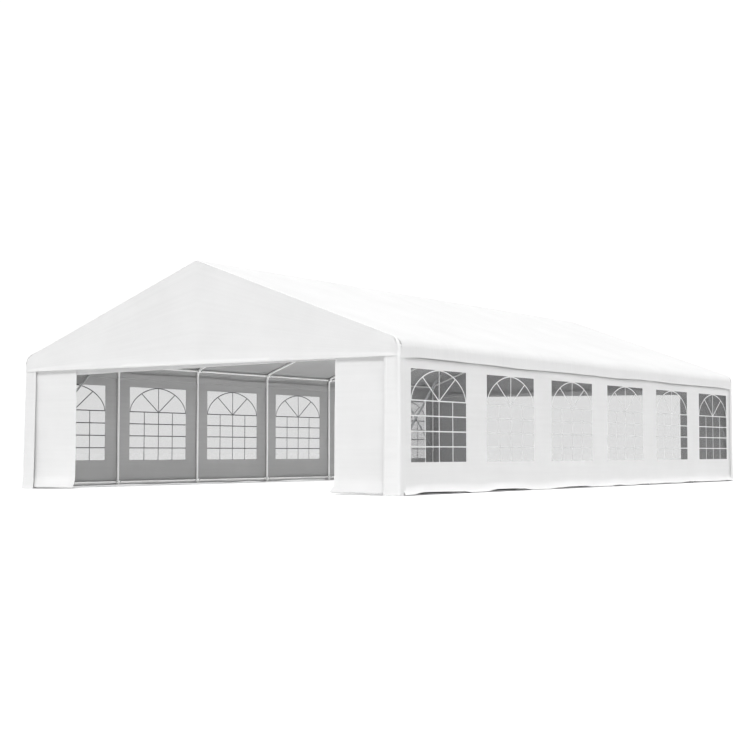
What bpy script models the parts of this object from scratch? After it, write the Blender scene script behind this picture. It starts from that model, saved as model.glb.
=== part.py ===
"""Carport tent: seven tube portals, purlins, braces and a fabric cover with windows.

Metres, +Z up. The origin is the middle of the footprint on the ground, +X runs across
the front and +Y from the front gable to the rear gable.
"""
import math

import bmesh
import bpy
from mathutils import Matrix, Vector

# Driving dimensions
LENGTH = 12.0            # outside of the front gable to the outside of the rear gable
BAYS = 6                 # window bays along each side
POST_X = 3.455           # middle of the tent to the middle of a side post
RIDGE_Z = 3.295          # where the rafters' centre lines would meet without the bend
ROOF_PITCH = math.radians(20.13)
GABLE_HEM_Z = 1.82       # bottom edge of both gables, the doorway's head
VALANCE_Z = 1.80         # bottom edge of the roof cover along the sides
LEG_FRONT = 0.225        # width of a corner leg seen from the front
LEG_SIDE = 0.155         # width of a corner leg seen from the side
DOOR_INNER_X = 2.43      # middle of the doorway to the edge of a door panel
WINDOW_WIDTH = 1.42
WINDOW_SILL_Z = 0.432
WINDOW_HEAD_Z = 1.669

# Tubes
PORTAL_INSET = 0.045     # gable's outside to the middle of the portal behind it
POST_R = 0.019
RAIL_R = 0.016
HEADER_R = 0.015
BRACE_R = 0.016
SOCKET_R = 0.024
SOCKET_REACH = 0.06      # how far a socket reaches past its portal along a rail
RAIL_INSET = 0.04        # rails and sockets end this far inside the gables
TUBE_SIDES = 12
ELBOW_R = 0.15
ELBOW_STEPS = 6
RIDGE_BEND_R = 0.08
RIDGE_BEND_STEPS = 4
MID_PURLIN_X = 1.75
BASE_RAIL_Z = 0.065
HEADER_Z = 1.82
BRACE_FOOT_Z = 0.62
BRACE_RUN = 1.46         # corner to the brace's top end, along the eave rail
FOOT_SIZE = 0.07
FOOT_THICK = 0.006

# Fabric
SKIN = 0.004             # thickness of every fabric solid
FILM = 0.0015            # thickness of the window film
FILM_LAP = 0.02          # how far the film reaches behind the window's edge
GAP = 0.0003             # clearance where two pieces touch
HEM_CLEAR = 0.002        # fabric hems above the ground
DOOR_LAP = 0.03          # how far a door panel reaches behind the leg and the gable
EAVE_R = 0.165           # inside radius of the cover round the eave
LEG_CORNER_R = 0.04
HEM_TOP_Z = 0.11
HEM_FLARE = 0.035
WALL_TOP_Z = 1.885

# Worked out from the above
BAY = LENGTH / BAYS
END_Y = LENGTH / 2
WALL_IN_X = POST_X + SOCKET_R + GAP
WALL_OUT_X = WALL_IN_X + SKIN
BEND = math.pi / 2 - ROOF_PITCH
SLOPE = math.tan(ROOF_PITCH)
ELBOW_CUT = ELBOW_R * math.tan(BEND / 2)
ELBOW_Z = RIDGE_Z - POST_X * SLOPE - ELBOW_CUT
RIDGE_TUBE_Z = RIDGE_Z - RIDGE_BEND_R * (1 / math.cos(ROOF_PITCH) - 1)
EAVE_RAIL_X = POST_X - ELBOW_R * (1 - math.cos(BEND / 2))
EAVE_RAIL_Z = ELBOW_Z + ELBOW_R * math.sin(BEND / 2)
FOOT_X = WALL_IN_X - SKIN - FOOT_SIZE / 2


def portal_positions():
    """Y of each portal: the end ones stand just behind the gables."""
    places = [-END_Y + BAY * i for i in range(BAYS + 1)]
    places[0] += PORTAL_INSET
    places[-1] -= PORTAL_INSET
    return places


def rail_places():
    """Name and X, Z of each tube that runs the whole length."""
    mid_z = RIDGE_Z - MID_PURLIN_X * SLOPE
    return [
        ("ridge_purlin", 0.0, RIDGE_TUBE_Z),
        ("mid_purlin_left", -MID_PURLIN_X, mid_z),
        ("mid_purlin_right", MID_PURLIN_X, mid_z),
        ("eave_rail_left", -EAVE_RAIL_X, EAVE_RAIL_Z),
        ("eave_rail_right", EAVE_RAIL_X, EAVE_RAIL_Z),
        ("base_rail_left", -POST_X, BASE_RAIL_Z),
        ("base_rail_right", POST_X, BASE_RAIL_Z),
    ]


def clear_scene():
    for obj in list(bpy.data.objects):
        bpy.data.objects.remove(obj, do_unlink=True)


def make_material(name, colour, roughness, metallic=0.0, alpha=1.0):
    mat = bpy.data.materials.new(name)
    mat.use_nodes = True
    shader = mat.node_tree.nodes["Principled BSDF"]
    shader.inputs["Base Color"].default_value = (*colour, 1.0)
    shader.inputs["Roughness"].default_value = roughness
    shader.inputs["Metallic"].default_value = metallic
    shader.inputs["Alpha"].default_value = alpha
    return mat


def add_object(name, bm, mat=None, smooth=False):
    bmesh.ops.recalc_face_normals(bm, faces=bm.faces)
    mesh = bpy.data.meshes.new(name)
    bm.to_mesh(mesh)
    bm.free()
    if mat:
        mesh.materials.append(mat)
    if smooth:
        mesh.shade_smooth()
        mesh.set_sharp_from_angle(angle=math.radians(40))
    obj = bpy.data.objects.new(name, mesh)
    bpy.context.scene.collection.objects.link(obj)
    return obj


def add_guide(name, bm):
    """A shape that only cuts or joins another one."""
    obj = add_object(name, bm)
    obj.hide_render = True
    obj.display_type = "WIRE"
    return obj


def add_boolean(obj, guide, operation):
    mod = obj.modifiers.new(operation.lower(), "BOOLEAN")
    mod.operation = operation
    mod.solver = "EXACT"
    mod.object = guide


def cylinder_along_y(bm, x, z, radius, y_low, y_high):
    turn = Matrix.Rotation(math.pi / 2, 4, "X")
    place = Matrix.Translation((x, (y_low + y_high) / 2, z)) @ turn
    bmesh.ops.create_cone(bm, cap_ends=True, segments=TUBE_SIDES, radius1=radius, radius2=radius,
                          depth=y_high - y_low, matrix=place)


def box(bm, low, high):
    size = [h - l for l, h in zip(low, high)]
    middle = [(h + l) / 2 for l, h in zip(low, high)]
    place = Matrix.Translation(middle) @ Matrix.Diagonal((*size, 1.0))
    bmesh.ops.create_cube(bm, size=1.0, matrix=place)


# Tube portals

def new_ring(result):
    verts = {v for v in result if isinstance(v, bmesh.types.BMVert)}
    return [e for e in result if isinstance(e, bmesh.types.BMEdge) and set(e.verts) <= verts]


def extrude_ring(bm, ring, move):
    result = bmesh.ops.extrude_edge_only(bm, edges=ring)["geom"]
    verts = [v for v in result if isinstance(v, bmesh.types.BMVert)]
    bmesh.ops.translate(bm, verts=verts, vec=move)
    return new_ring(result)


def spin_ring(bm, ring, centre, angle, steps):
    verts = list({v for e in ring for v in e.verts})
    result = bmesh.ops.spin(bm, geom=verts + ring, cent=centre, axis=(0, 1, 0),
                            angle=angle, steps=steps, use_duplicate=False)
    return new_ring(result["geom_last"])


def roof_frame_mesh(y):
    """One bent tube from the left elbow over the ridge to the right elbow."""
    bm = bmesh.new()
    start = Matrix.Translation((-POST_X, y, ELBOW_Z))
    circle = bmesh.ops.create_circle(bm, cap_ends=False, segments=TUBE_SIDES,
                                     radius=POST_R, matrix=start)
    ring = list({e for v in circle["verts"] for e in v.link_edges})
    rafter = POST_X / math.cos(ROOF_PITCH) - ELBOW_CUT - RIDGE_BEND_R * SLOPE
    up = Vector((rafter * math.cos(ROOF_PITCH), 0, rafter * math.sin(ROOF_PITCH)))
    ridge_centre = (0, y, RIDGE_TUBE_Z - RIDGE_BEND_R)
    ring = spin_ring(bm, ring, (ELBOW_R - POST_X, y, ELBOW_Z), BEND, ELBOW_STEPS)
    ring = extrude_ring(bm, ring, up)
    ring = spin_ring(bm, ring, ridge_centre, 2 * ROOF_PITCH, RIDGE_BEND_STEPS)
    ring = extrude_ring(bm, ring, (up.x, 0, -up.z))
    spin_ring(bm, ring, (POST_X - ELBOW_R, y, ELBOW_Z), BEND, ELBOW_STEPS)
    bmesh.ops.holes_fill(bm, edges=bm.edges, sides=TUBE_SIDES)
    return bm


def post_mesh(x, y):
    bm = bmesh.new()
    top = ELBOW_Z - GAP
    low = FOOT_THICK / 2
    bmesh.ops.create_cone(bm, cap_ends=True, segments=TUBE_SIDES, radius1=POST_R, radius2=POST_R,
                          depth=top - low, matrix=Matrix.Translation((x, y, (top + low) / 2)))
    return bm


def socket_reach(y):
    """Low and high Y of the sockets at a portal: the end ones stop inside the gables."""
    return max(y - SOCKET_REACH, -END_Y + RAIL_INSET), min(y + SOCKET_REACH, END_Y - RAIL_INSET)


def sockets(y, wanted):
    """The sockets that the wanted rails pass through at a portal."""
    bm = bmesh.new()
    for name, x, z in rail_places():
        if name in wanted:
            cylinder_along_y(bm, x, z, SOCKET_R, *socket_reach(y))
    return bm


def foot_fittings(y, side):
    """The base rail's socket and the foot plate of one post."""
    bm = sockets(y, {"base_rail_left" if side < 0 else "base_rail_right"})
    reach = END_Y - RAIL_INSET - FOOT_SIZE / 2
    foot_y = min(max(y, -reach), reach)
    middle = side * FOOT_X
    box(bm, (middle - FOOT_SIZE / 2, foot_y - FOOT_SIZE / 2, 0),
        (middle + FOOT_SIZE / 2, foot_y + FOOT_SIZE / 2, FOOT_THICK))
    return bm


def build_portals(mat):
    """Seven portals, each of a left post, a right post and the bent roof tube on top."""
    holes = bmesh.new()
    for _, x, z in rail_places():
        cylinder_along_y(holes, x, z, RAIL_R + GAP, -END_Y - BAY, END_Y + BAY)
    rail_holes = add_guide("guide_rail_holes", holes)
    roof_rails = {name for name, _, _ in rail_places() if not name.startswith("base_rail")}
    for number, y in enumerate(portal_positions(), 1):
        frame = add_object(f"roof_frame_{number}", roof_frame_mesh(y), mat, smooth=True)
        fittings = add_guide(f"guide_sockets_{number}", sockets(y, roof_rails))
        add_boolean(frame, fittings, "UNION")
        add_boolean(frame, rail_holes, "DIFFERENCE")
        for side_name, side in (("left", -1), ("right", 1)):
            post = add_object(f"post_{side_name}_{number}", post_mesh(side * POST_X, y), mat,
                              smooth=True)
            foot = add_guide(f"guide_foot_{side_name}_{number}", foot_fittings(y, side))
            add_boolean(post, foot, "UNION")
            add_boolean(post, rail_holes, "DIFFERENCE")


def build_rails(mat):
    reach = END_Y - RAIL_INSET
    for name, x, z in rail_places():
        bm = bmesh.new()
        cylinder_along_y(bm, x, z, RAIL_R, -reach, reach)
        add_object(name, bm, mat, smooth=True)


def build_headers(mat):
    """The tube behind each gable's hem, from post to post over the doorway."""
    span = 2 * (POST_X - POST_R - GAP)
    for name, end in (("front_header", -1), ("rear_header", 1)):
        bm = bmesh.new()
        place = Matrix.Translation((0, end * (END_Y - PORTAL_INSET), HEADER_Z))
        bmesh.ops.create_cone(bm, cap_ends=True, segments=TUBE_SIDES, radius1=HEADER_R,
                              radius2=HEADER_R, depth=span,
                              matrix=place @ Matrix.Rotation(math.pi / 2, 4, "Y"))
        add_object(name, bm, mat, smooth=True)


def build_braces(mat):
    """A strut in each side wall from the corner post up to the eave rail."""
    for end_name, end in (("front", -1), ("rear", 1)):
        for side_name, side in (("left", -1), ("right", 1)):
            foot_y = end * (END_Y - PORTAL_INSET - POST_R - GAP)
            foot = Vector((side * POST_X, foot_y, BRACE_FOOT_Z))
            top_z = EAVE_RAIL_Z - RAIL_R - GAP
            top = Vector((side * EAVE_RAIL_X, end * (END_Y - BRACE_RUN), top_z))
            axis = (top - foot).normalized()
            turn = axis.to_track_quat("Z", "X").to_matrix().to_4x4()
            bm = bmesh.new()
            bmesh.ops.create_cone(bm, cap_ends=True, segments=TUBE_SIDES, radius1=BRACE_R,
                                  radius2=BRACE_R, depth=(top - foot).length,
                                  matrix=Matrix.Translation((foot + top) / 2) @ turn)
            for vert in bm.verts:
                if (vert.co - foot).dot(axis) < (vert.co - top).dot(-axis):
                    vert.co += axis * ((foot.y - vert.co.y) / axis.y)
                else:
                    vert.co += axis * ((top.z - vert.co.z) / axis.z)
            add_object(f"brace_{end_name}_{side_name}", bm, mat, smooth=True)


# Fabric

def rounded_path(corners, radii, steps):
    """Points along a line of corners, each corner replaced by an arc."""
    points = [Vector(corners[0])]
    for i, radius in enumerate(radii, 1):
        here = Vector(corners[i])
        back = (Vector(corners[i - 1]) - here).normalized()
        ahead = (Vector(corners[i + 1]) - here).normalized()
        half = back.angle(ahead) / 2
        centre = here + (back + ahead).normalized() * (radius / math.sin(half))
        start = here + back * (radius / math.tan(half)) - centre
        turn = back.angle_signed(-ahead)
        for step in range(steps[i - 1] + 1):
            angle = -turn * step / steps[i - 1]
            spun = Vector((start.x * math.cos(angle) - start.y * math.sin(angle),
                           start.x * math.sin(angle) + start.y * math.cos(angle)))
            points.append(centre + spun)
    points.append(Vector(corners[-1]))
    return points


def roof_path(offset, side_x, eave_r, low_z):
    """X, Z round the roof, standing the given distance off the rafters' centre line."""
    top_z = RIDGE_Z + offset / math.cos(ROOF_PITCH)
    eave_z = top_z - side_x * SLOPE
    corners = [(-side_x, low_z), (-side_x, eave_z), (0, top_z), (side_x, eave_z), (side_x, low_z)]
    return rounded_path(corners, [eave_r, RIDGE_BEND_R + offset, eave_r],
                        [ELBOW_STEPS, RIDGE_BEND_STEPS, ELBOW_STEPS])


def profile_sheet(name, outer, inner, along, low, high, mat):
    """A sheet between two matching paths, drawn straight along one axis."""
    bm = bmesh.new()

    def place(point):
        if along == "Y":
            return bm.verts.new((point[0], low, point[1]))
        return bm.verts.new((point[0], point[1], low))

    outside = [place(p) for p in outer]
    inside = [place(p) for p in inner]
    for i in range(len(outer) - 1):
        bm.faces.new((outside[i], outside[i + 1], inside[i + 1], inside[i]))
    result = bmesh.ops.extrude_face_region(bm, geom=list(bm.faces))["geom"]
    far = [v for v in result if isinstance(v, bmesh.types.BMVert)]
    move = (0, high - low, 0) if along == "Y" else (0, 0, high - low)
    bmesh.ops.translate(bm, verts=far, vec=move)
    return add_object(name, bm, mat)


def flat_sheet(name, low, high, mat):
    bm = bmesh.new()
    box(bm, low, high)
    return add_object(name, bm, mat)


def build_roof_cover(mat):
    """One sheet: both slopes, the rounded eaves and the valances over the side walls."""
    in_x = WALL_OUT_X + GAP
    outer = roof_path(SOCKET_R + GAP + SKIN, in_x + SKIN, EAVE_R + SKIN, VALANCE_Z)
    inner = roof_path(SOCKET_R + GAP, in_x, EAVE_R, VALANCE_Z)
    profile_sheet("roof_cover", outer, inner, "Y", -END_Y, END_Y, mat)


def build_gables(mat):
    """Flat ends that close the roof down to the doorway's head."""
    outline = roof_path(SOCKET_R, WALL_OUT_X, EAVE_R, GABLE_HEM_Z)
    for name, low_y in (("front_gable", -END_Y), ("rear_gable", END_Y - SKIN)):
        bm = bmesh.new()
        face = bm.faces.new([bm.verts.new((p.x, low_y, p.y)) for p in outline])
        result = bmesh.ops.extrude_face_region(bm, geom=[face])["geom"]
        far = [v for v in result if isinstance(v, bmesh.types.BMVert)]
        bmesh.ops.translate(bm, verts=far, vec=(0, SKIN, 0))
        add_object(name, bm, mat)


def leg_path(side, end, inset):
    """X, Y of a corner leg seen from above: front strip, round corner, side strip."""
    x = WALL_OUT_X - inset
    y = END_Y - inset
    corners = [(WALL_OUT_X - LEG_FRONT, y), (x, y), (x, END_Y - LEG_SIDE)]
    path = rounded_path(corners, [LEG_CORNER_R - inset], [ELBOW_STEPS])
    return [Vector((side * p.x, end * p.y)) for p in path]


def build_corners(mat):
    """The cover's legs at the four corners and the fixed door panels beside them."""
    top = GABLE_HEM_Z - GAP
    for end_name, end in (("front", -1), ("rear", 1)):
        for side_name, side in (("left", -1), ("right", 1)):
            profile_sheet(f"leg_{end_name}_{side_name}", leg_path(side, end, 0),
                          leg_path(side, end, SKIN), "Z", HEM_CLEAR, top, mat)
            xs = sorted((side * DOOR_INNER_X, side * (WALL_OUT_X - LEG_FRONT + DOOR_LAP)))
            ys = sorted((end * (END_Y - SKIN - GAP), end * (END_Y - 2 * SKIN - GAP)))
            flat_sheet(f"door_{end_name}_{side_name}", (xs[0], ys[0], HEM_CLEAR),
                       (xs[1], ys[1], top + DOOR_LAP), mat)


def window_spans():
    """Low and high Y of each window: one in the middle of each bay."""
    middles = [-END_Y + BAY * (i + 0.5) for i in range(BAYS)]
    return [(m - WINDOW_WIDTH / 2, m + WINDOW_WIDTH / 2) for m in middles]


def build_walls(wall_mat, film_mat):
    """Both side walls, cut through at the windows, with the film behind each opening."""
    reach = END_Y - LEG_SIDE - GAP
    for side_name, side in (("left", -1), ("right", 1)):
        outer = [(side * WALL_OUT_X, WALL_TOP_Z), (side * WALL_OUT_X, HEM_TOP_Z),
                 (side * (WALL_OUT_X + HEM_FLARE), HEM_CLEAR)]
        inner = [(side * WALL_IN_X, WALL_TOP_Z), (side * WALL_IN_X, HEM_TOP_Z),
                 (side * (WALL_IN_X + HEM_FLARE), HEM_CLEAR)]
        wall = profile_sheet(f"{side_name}_wall", outer, inner, "Y", -reach, reach, wall_mat)
        cutter = bmesh.new()
        xs = sorted((side * (WALL_IN_X - SKIN), side * (WALL_OUT_X + SKIN)))
        film_xs = sorted((side * (WALL_IN_X - GAP), side * (WALL_IN_X - GAP - FILM)))
        for number, (low_y, high_y) in enumerate(window_spans(), 1):
            box(cutter, (xs[0], low_y, WINDOW_SILL_Z), (xs[1], high_y, WINDOW_HEAD_Z))
            flat_sheet(f"window_{side_name}_{number}",
                       (film_xs[0], low_y - FILM_LAP, WINDOW_SILL_Z - FILM_LAP),
                       (film_xs[1], high_y + FILM_LAP, WINDOW_HEAD_Z + FILM_LAP), film_mat)
        guide = add_guide(f"guide_windows_{side_name}", cutter)
        add_boolean(wall, guide, "DIFFERENCE")


def build():
    clear_scene()
    steel = make_material("powder coated steel tube", (0.86, 0.87, 0.88), 0.35)
    cover = make_material("white coated fabric", (0.88, 0.89, 0.90), 0.55)
    film = make_material("clear window film", (0.75, 0.78, 0.80), 0.2, alpha=0.4)
    build_portals(steel)
    build_rails(steel)
    build_headers(steel)
    build_braces(steel)
    build_roof_cover(cover)
    build_gables(cover)
    build_corners(cover)
    build_walls(cover, film)


build()
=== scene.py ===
"""Carport tent, dressed over its CAD frame.

A sewn white cover on coated steel tubes: the roof with its valances, two gables with their
corner legs, door panels, two side walls with film windows and printed bars.
Metres, +X across the front, +Y to the rear, +Z up.
"""
import math

import bmesh
import bpy
from mathutils import Matrix, Vector, noise


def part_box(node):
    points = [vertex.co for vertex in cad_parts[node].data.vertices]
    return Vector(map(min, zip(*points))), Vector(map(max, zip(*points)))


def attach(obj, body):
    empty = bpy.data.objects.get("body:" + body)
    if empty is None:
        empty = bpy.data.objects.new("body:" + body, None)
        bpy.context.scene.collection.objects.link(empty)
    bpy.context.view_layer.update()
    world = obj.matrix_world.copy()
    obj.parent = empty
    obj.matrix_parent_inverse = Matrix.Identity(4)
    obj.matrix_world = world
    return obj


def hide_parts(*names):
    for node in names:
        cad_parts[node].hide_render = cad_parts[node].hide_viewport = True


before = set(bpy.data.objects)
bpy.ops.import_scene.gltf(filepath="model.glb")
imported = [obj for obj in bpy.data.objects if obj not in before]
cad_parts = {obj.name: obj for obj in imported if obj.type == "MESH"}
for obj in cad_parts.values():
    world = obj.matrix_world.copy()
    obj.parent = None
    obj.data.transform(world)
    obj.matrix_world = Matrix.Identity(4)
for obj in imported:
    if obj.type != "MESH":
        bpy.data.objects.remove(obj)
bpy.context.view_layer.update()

# Sizes read from the frame
HALF_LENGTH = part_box("roof_cover")[1].y
COVER_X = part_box("roof_cover")[1].x
WALL_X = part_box("leg_front_right")[1].x
WALL_TOP_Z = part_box("right_wall")[1].z
GABLE_HEM_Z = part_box("front_gable")[0].z
VALANCE_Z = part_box("roof_cover")[0].z
HEM_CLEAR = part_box("right_wall")[0].z
LEG_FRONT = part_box("leg_front_right")[1].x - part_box("leg_front_right")[0].x
RAIL_R = (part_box("ridge_purlin")[1].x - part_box("ridge_purlin")[0].x) / 2
HEADER_R = (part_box("front_header")[1].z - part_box("front_header")[0].z) / 2
HEADER_Z = (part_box("front_header")[1].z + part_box("front_header")[0].z) / 2
HEADER_Y = (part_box("rear_header")[1].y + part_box("rear_header")[0].y) / 2
FRAMES = [f"roof_frame_{i}" for i in range(1, 8)]
PORTAL_Y = [-HEADER_Y, *[(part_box(f)[0].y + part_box(f)[1].y) / 2 for f in FRAMES[1:-1]], HEADER_Y]
RAILS = ["ridge_purlin", "mid_purlin_left", "mid_purlin_right", "eave_rail_left",
         "eave_rail_right", "base_rail_left", "base_rail_right"]
ENDS = (("front", -1), ("rear", 1))
SIDES = (("left", -1), ("right", 1))

# Sizes of the frame's design
ROOF_PITCH = math.radians(20.13)
RAFTER_APEX_Z = 3.295      # where the rafters' centre lines would meet
POST_X = 3.455
POST_R = 0.019
SOCKET_R = 0.024
BRACE_R = 0.016
ELBOW_R = 0.15
RIDGE_BEND_R = 0.08
EAVE_R = 0.169             # outside radius of the cover round the eave
COVER_OFF = 0.0283         # cover's outside above the rafters' centre line
EDGE_R = 0.04              # rounded corner between a leg's front and side strips
EDGE_LEFT = 0.014          # the left legs' corners are pulled sharper
EDGE_TIGHT = 0.012         # and so is the edge between the roof and the gable
WINDOW_LAP = 0.02          # how far the film runs behind the fabric round a window

# Sizes of the sewn cover
CLOTH_THICK = 0.0016       # thickness that the fabric is drawn with
HEM_BAND = 0.035           # folded and stitched hem along a free edge
HEM_PROUD = 0.0012         # how far a doubled hem stands out
HEM_STEP = 0.001           # width of the step at a hem's inner edge
SKIRT_TOP_Z = 0.13         # top of the loose skirt along the ground
SKIRT_FLARE = 0.058
SKIRT_RETURN = 0.22        # its end is folded back in under the base rail
VALANCE_SWING = 0.006      # how far the valance's edge stands off between two posts
LEAN_TOP = 0.016           # how far the corner legs stand out at the eave
LEAN_FOOT = 0.043          # and at the ground, both mostly to the front and the left
LEAN_POWER = 1.2
LEAN_GONE = (1.92, 2.22)   # heights between which the lean dies away
LEAN_FROM_X = 2.95         # how far from the middle a gable's cloth begins to lean
FILM_TUCK = 0.004          # visible edge of the film behind the fabric
WALL_SET = 0.0045          # the walls hang this far behind the legs' outside
DOOR_SET = 0.016           # the door panels hang this far behind the gable
DOOR_HEM_Z = 0.020         # the door panels end just clear of the ground
DOOR_RETURN = 0.06         # folded back in below, as the walls' skirts are
DOOR_TUCK = 0.03           # how far the door panels run on behind the legs
DOOR_FOLD = 0.0045         # depth of their upright folds
DOOR_FLARE = 0.022         # how far their foot swings out
DOOR_LIFT = 0.009          # and how high its hem lifts
DOOR_FOOT = (0.24, 0.02)   # heights between which the foot spreads
ROOF_SAG = 0.016           # between two portals
BAR_WIDTH = 0.017
BAR_THICK = 0.0006
FILM_THICK = 0.0008
TUBE_SIDES = 20

SLOPE = math.tan(ROOF_PITCH)
BEND = math.pi / 2 - ROOF_PITCH


# Materials

def srgb(code):
    """A hex colour as the linear values that the shaders read."""
    parts = [int(code[i:i + 2], 16) / 255 for i in (1, 3, 5)]
    linear = [c / 12.92 if c <= 0.04045 else ((c + 0.055) / 1.055) ** 2.4 for c in parts]
    return (*linear, 1.0)


def node(tree, kind, links=None, inputs=None, **settings):
    """Adds a node with its settings, input values and incoming links."""
    made = tree.nodes.new(kind)
    for name, value in settings.items():
        setattr(made, name, value)
    for name, value in (inputs or {}).items():
        made.inputs[name].default_value = value
    for name, source in (links or {}).items():
        tree.links.new(source, made.inputs[name])
    return made


def new_material(name, values):
    """A material whose Principled shader has the given values, with its tree and shader."""
    mat = bpy.data.materials.new(name)
    mat.use_nodes = True
    shader = mat.node_tree.nodes["Principled BSDF"]
    for socket, value in values.items():
        shader.inputs[socket].default_value = value
    return mat, mat.node_tree, shader


def on_body(tree, kind, inputs):
    """A texture laid out in the piece's own metres."""
    place = node(tree, "ShaderNodeTexCoord")
    return node(tree, kind, {"Vector": place.outputs["Object"]}, inputs)


def bumps(tree, shader, *layers):
    """Bumps for the shader: each layer is a height's socket, a strength and a distance."""
    under = {}
    for height, strength, distance in layers:
        layer = node(tree, "ShaderNodeBump", {"Height": height, **under},
                     {"Strength": strength, "Distance": distance})
        under = {"Normal": layer.outputs["Normal"]}
    tree.links.new(under["Normal"], shader.inputs["Normal"])


def two_tones(tree, shader, source, first, last, low=0.0, high=1.0):
    """Runs the base colour from one hex colour to another as the source goes from low to high."""
    tone = node(tree, "ShaderNodeValToRGB", {"Fac": source})
    for number, position, code in ((0, low, first), (1, high, last)):
        tone.color_ramp.elements[number].position = position
        tone.color_ramp.elements[number].color = srgb(code)
    tree.links.new(tone.outputs["Color"], shader.inputs["Base Color"])


def tarpaulin(name, dark, light, roughness):
    """Woven tapes under a smooth coating: matt-satin, with a fine grid and soft creases.

    The tapes are 2.5 mm wide and are drawn at 8 mm, because finer ones vanish at this size.
    """
    mat, tree, shader = new_material(name, {"Specular IOR Level": 0.3})
    place = node(tree, "ShaderNodeUVMap", uv_map="cut")
    across, along = [node(tree, "ShaderNodeTexWave", {"Vector": place.outputs["UV"]},
                          {"Scale": 38.0, "Distortion": 0.35, "Detail": 1.0},
                          wave_type="BANDS", bands_direction=way, wave_profile="SIN")
                     for way in ("X", "Y")]
    weave = node(tree, "ShaderNodeMath", {0: across.outputs["Fac"], 1: along.outputs["Fac"]},
                 operation="MULTIPLY")
    cloud = on_body(tree, "ShaderNodeTexNoise", {"Scale": 1.3, "Detail": 4.0, "Roughness": 0.55})
    streak_place = node(tree, "ShaderNodeMapping", {"Vector": place.outputs["UV"]},
                        {"Scale": (0.25, 9.0, 1.0)})
    streak = node(tree, "ShaderNodeTexNoise", {"Vector": streak_place.outputs["Vector"]},
                  {"Scale": 2.0, "Detail": 3.0})
    mottle = node(tree, "ShaderNodeMix",
                  {"A": cloud.outputs["Fac"], "B": streak.outputs["Fac"]}, {"Factor": 0.4})
    two_tones(tree, shader, mottle.outputs["Result"], dark, light, 0.3, 0.7)
    shine = node(tree, "ShaderNodeMapRange", {"Value": cloud.outputs["Fac"]},
                 {"To Min": roughness, "To Max": roughness + 0.12})
    tree.links.new(shine.outputs["Result"], shader.inputs["Roughness"])
    bumps(tree, shader, (weave.outputs["Value"], 0.10, 0.002), (streak.outputs["Fac"], 0.10, 0.01))
    return mat


def clear_vinyl_film():
    """Soft clear PVC sheet, slightly smoky, with a smooth wet shine and long soft ripples."""
    mat, tree, shader = new_material("clear_vinyl_film",
                                     {"Alpha": 0.21, "Roughness": 0.18, "IOR": 1.53})
    swell = on_body(tree, "ShaderNodeTexNoise", {"Scale": 3.0, "Detail": 2.0})
    two_tones(tree, shader, swell.outputs["Fac"], "#5F6062", "#6C6D6F")
    bumps(tree, shader, (swell.outputs["Fac"], 0.15, 0.01))
    return mat


def printed_ink(name, dark, light):
    """Vinyl ink printed thick on the film: flat, opaque and a little rough."""
    mat, tree, shader = new_material(name, {"Roughness": 0.5, "IOR": 1.5})
    speck = on_body(tree, "ShaderNodeTexNoise", {"Scale": 60.0, "Detail": 2.0})
    two_tones(tree, shader, speck.outputs["Fac"], dark, light)
    return mat


def powder_coated_steel():
    """White baked powder on round steel tube: satin, with a faint orange peel 3 mm across."""
    mat, tree, shader = new_material("powder_coated_steel", {"Roughness": 0.36, "IOR": 1.5})
    peel = on_body(tree, "ShaderNodeTexNoise", {"Scale": 330.0, "Detail": 2.0})
    cloud = on_body(tree, "ShaderNodeTexNoise", {"Scale": 5.0, "Detail": 3.0})
    two_tones(tree, shader, cloud.outputs["Fac"], "#F2F2F2", "#F8F8F7")
    bumps(tree, shader, (peel.outputs["Fac"], 0.08, 0.001))
    return mat


def zinc_plated_steel():
    """Bolts: blue-passivated zinc in crystals 4 mm across, darker and duller between them."""
    mat, tree, shader = new_material("zinc_plated_steel", {"Metallic": 1.0})
    spangle = on_body(tree, "ShaderNodeTexVoronoi", {"Scale": 260.0})
    two_tones(tree, shader, spangle.outputs["Distance"], "#8F9396", "#6F7376")
    rough = node(tree, "ShaderNodeMapRange", {"Value": spangle.outputs["Distance"]},
                 {"To Min": 0.32, "To Max": 0.5})
    tree.links.new(rough.outputs["Result"], shader.inputs["Roughness"])
    return mat


def brace_painted_shade_steel():
    """Brace tubes: a mid grey that is painted shade, darker than the white tubes, with faint
    spangles 8 mm across.
    """
    mat, tree, shader = new_material("brace_painted_shade_steel", {"Roughness": 0.55})
    spangle = on_body(tree, "ShaderNodeTexVoronoi", {"Scale": 125.0})
    two_tones(tree, shader, spangle.outputs["Distance"], "#B3B5B6", "#A5A7A8")
    return mat


def pale_studio_floor():
    """Seamless white paper, matt."""
    return new_material("pale_studio_floor", {"Base Color": srgb("#F2F2F2"), "Roughness": 0.9,
                                              "Specular IOR Level": 0.1})[0]


# The outside is coated white, and the grey of the inside is painted shade: a darker copy of the
# same cloth that stands for the dim light in the tent
CLOTH = [tarpaulin("coated_polyethylene_cloth", "#EAEAEA", "#F1F1F1", 0.46),
         tarpaulin("inside_painted_shade_cloth", "#A3A3A3", "#ACACAC", 0.66)]
FILM_FINISH = clear_vinyl_film()
# The bars' second ink, on their inner faces, is painted shade: a grey copy of the white ink for
# bars seen from inside against the lit film
BAR_FINISH = [printed_ink("white_vinyl_ink", "#E2E3E3", "#EAEBEB"),
              printed_ink("bar_painted_shade_ink", "#747576", "#7E7F80")]
TUBE_FINISH = powder_coated_steel()
BOLT_FINISH = zinc_plated_steel()
# The braces' grey is painted shade
BRACE_FINISH = brace_painted_shade_steel()


# Helpers

def new_object(name, data):
    """An object that shows the data, linked to the scene."""
    made = bpy.data.objects.new(name, data)
    bpy.context.scene.collection.objects.link(made)
    return made


def cut_heights(bm):
    """Each face with its height on the cut sheet."""
    cut = bm.loops.layers.uv["cut"]
    return [(face, face.loops[0][cut].uv.y) for face in bm.faces]


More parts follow.
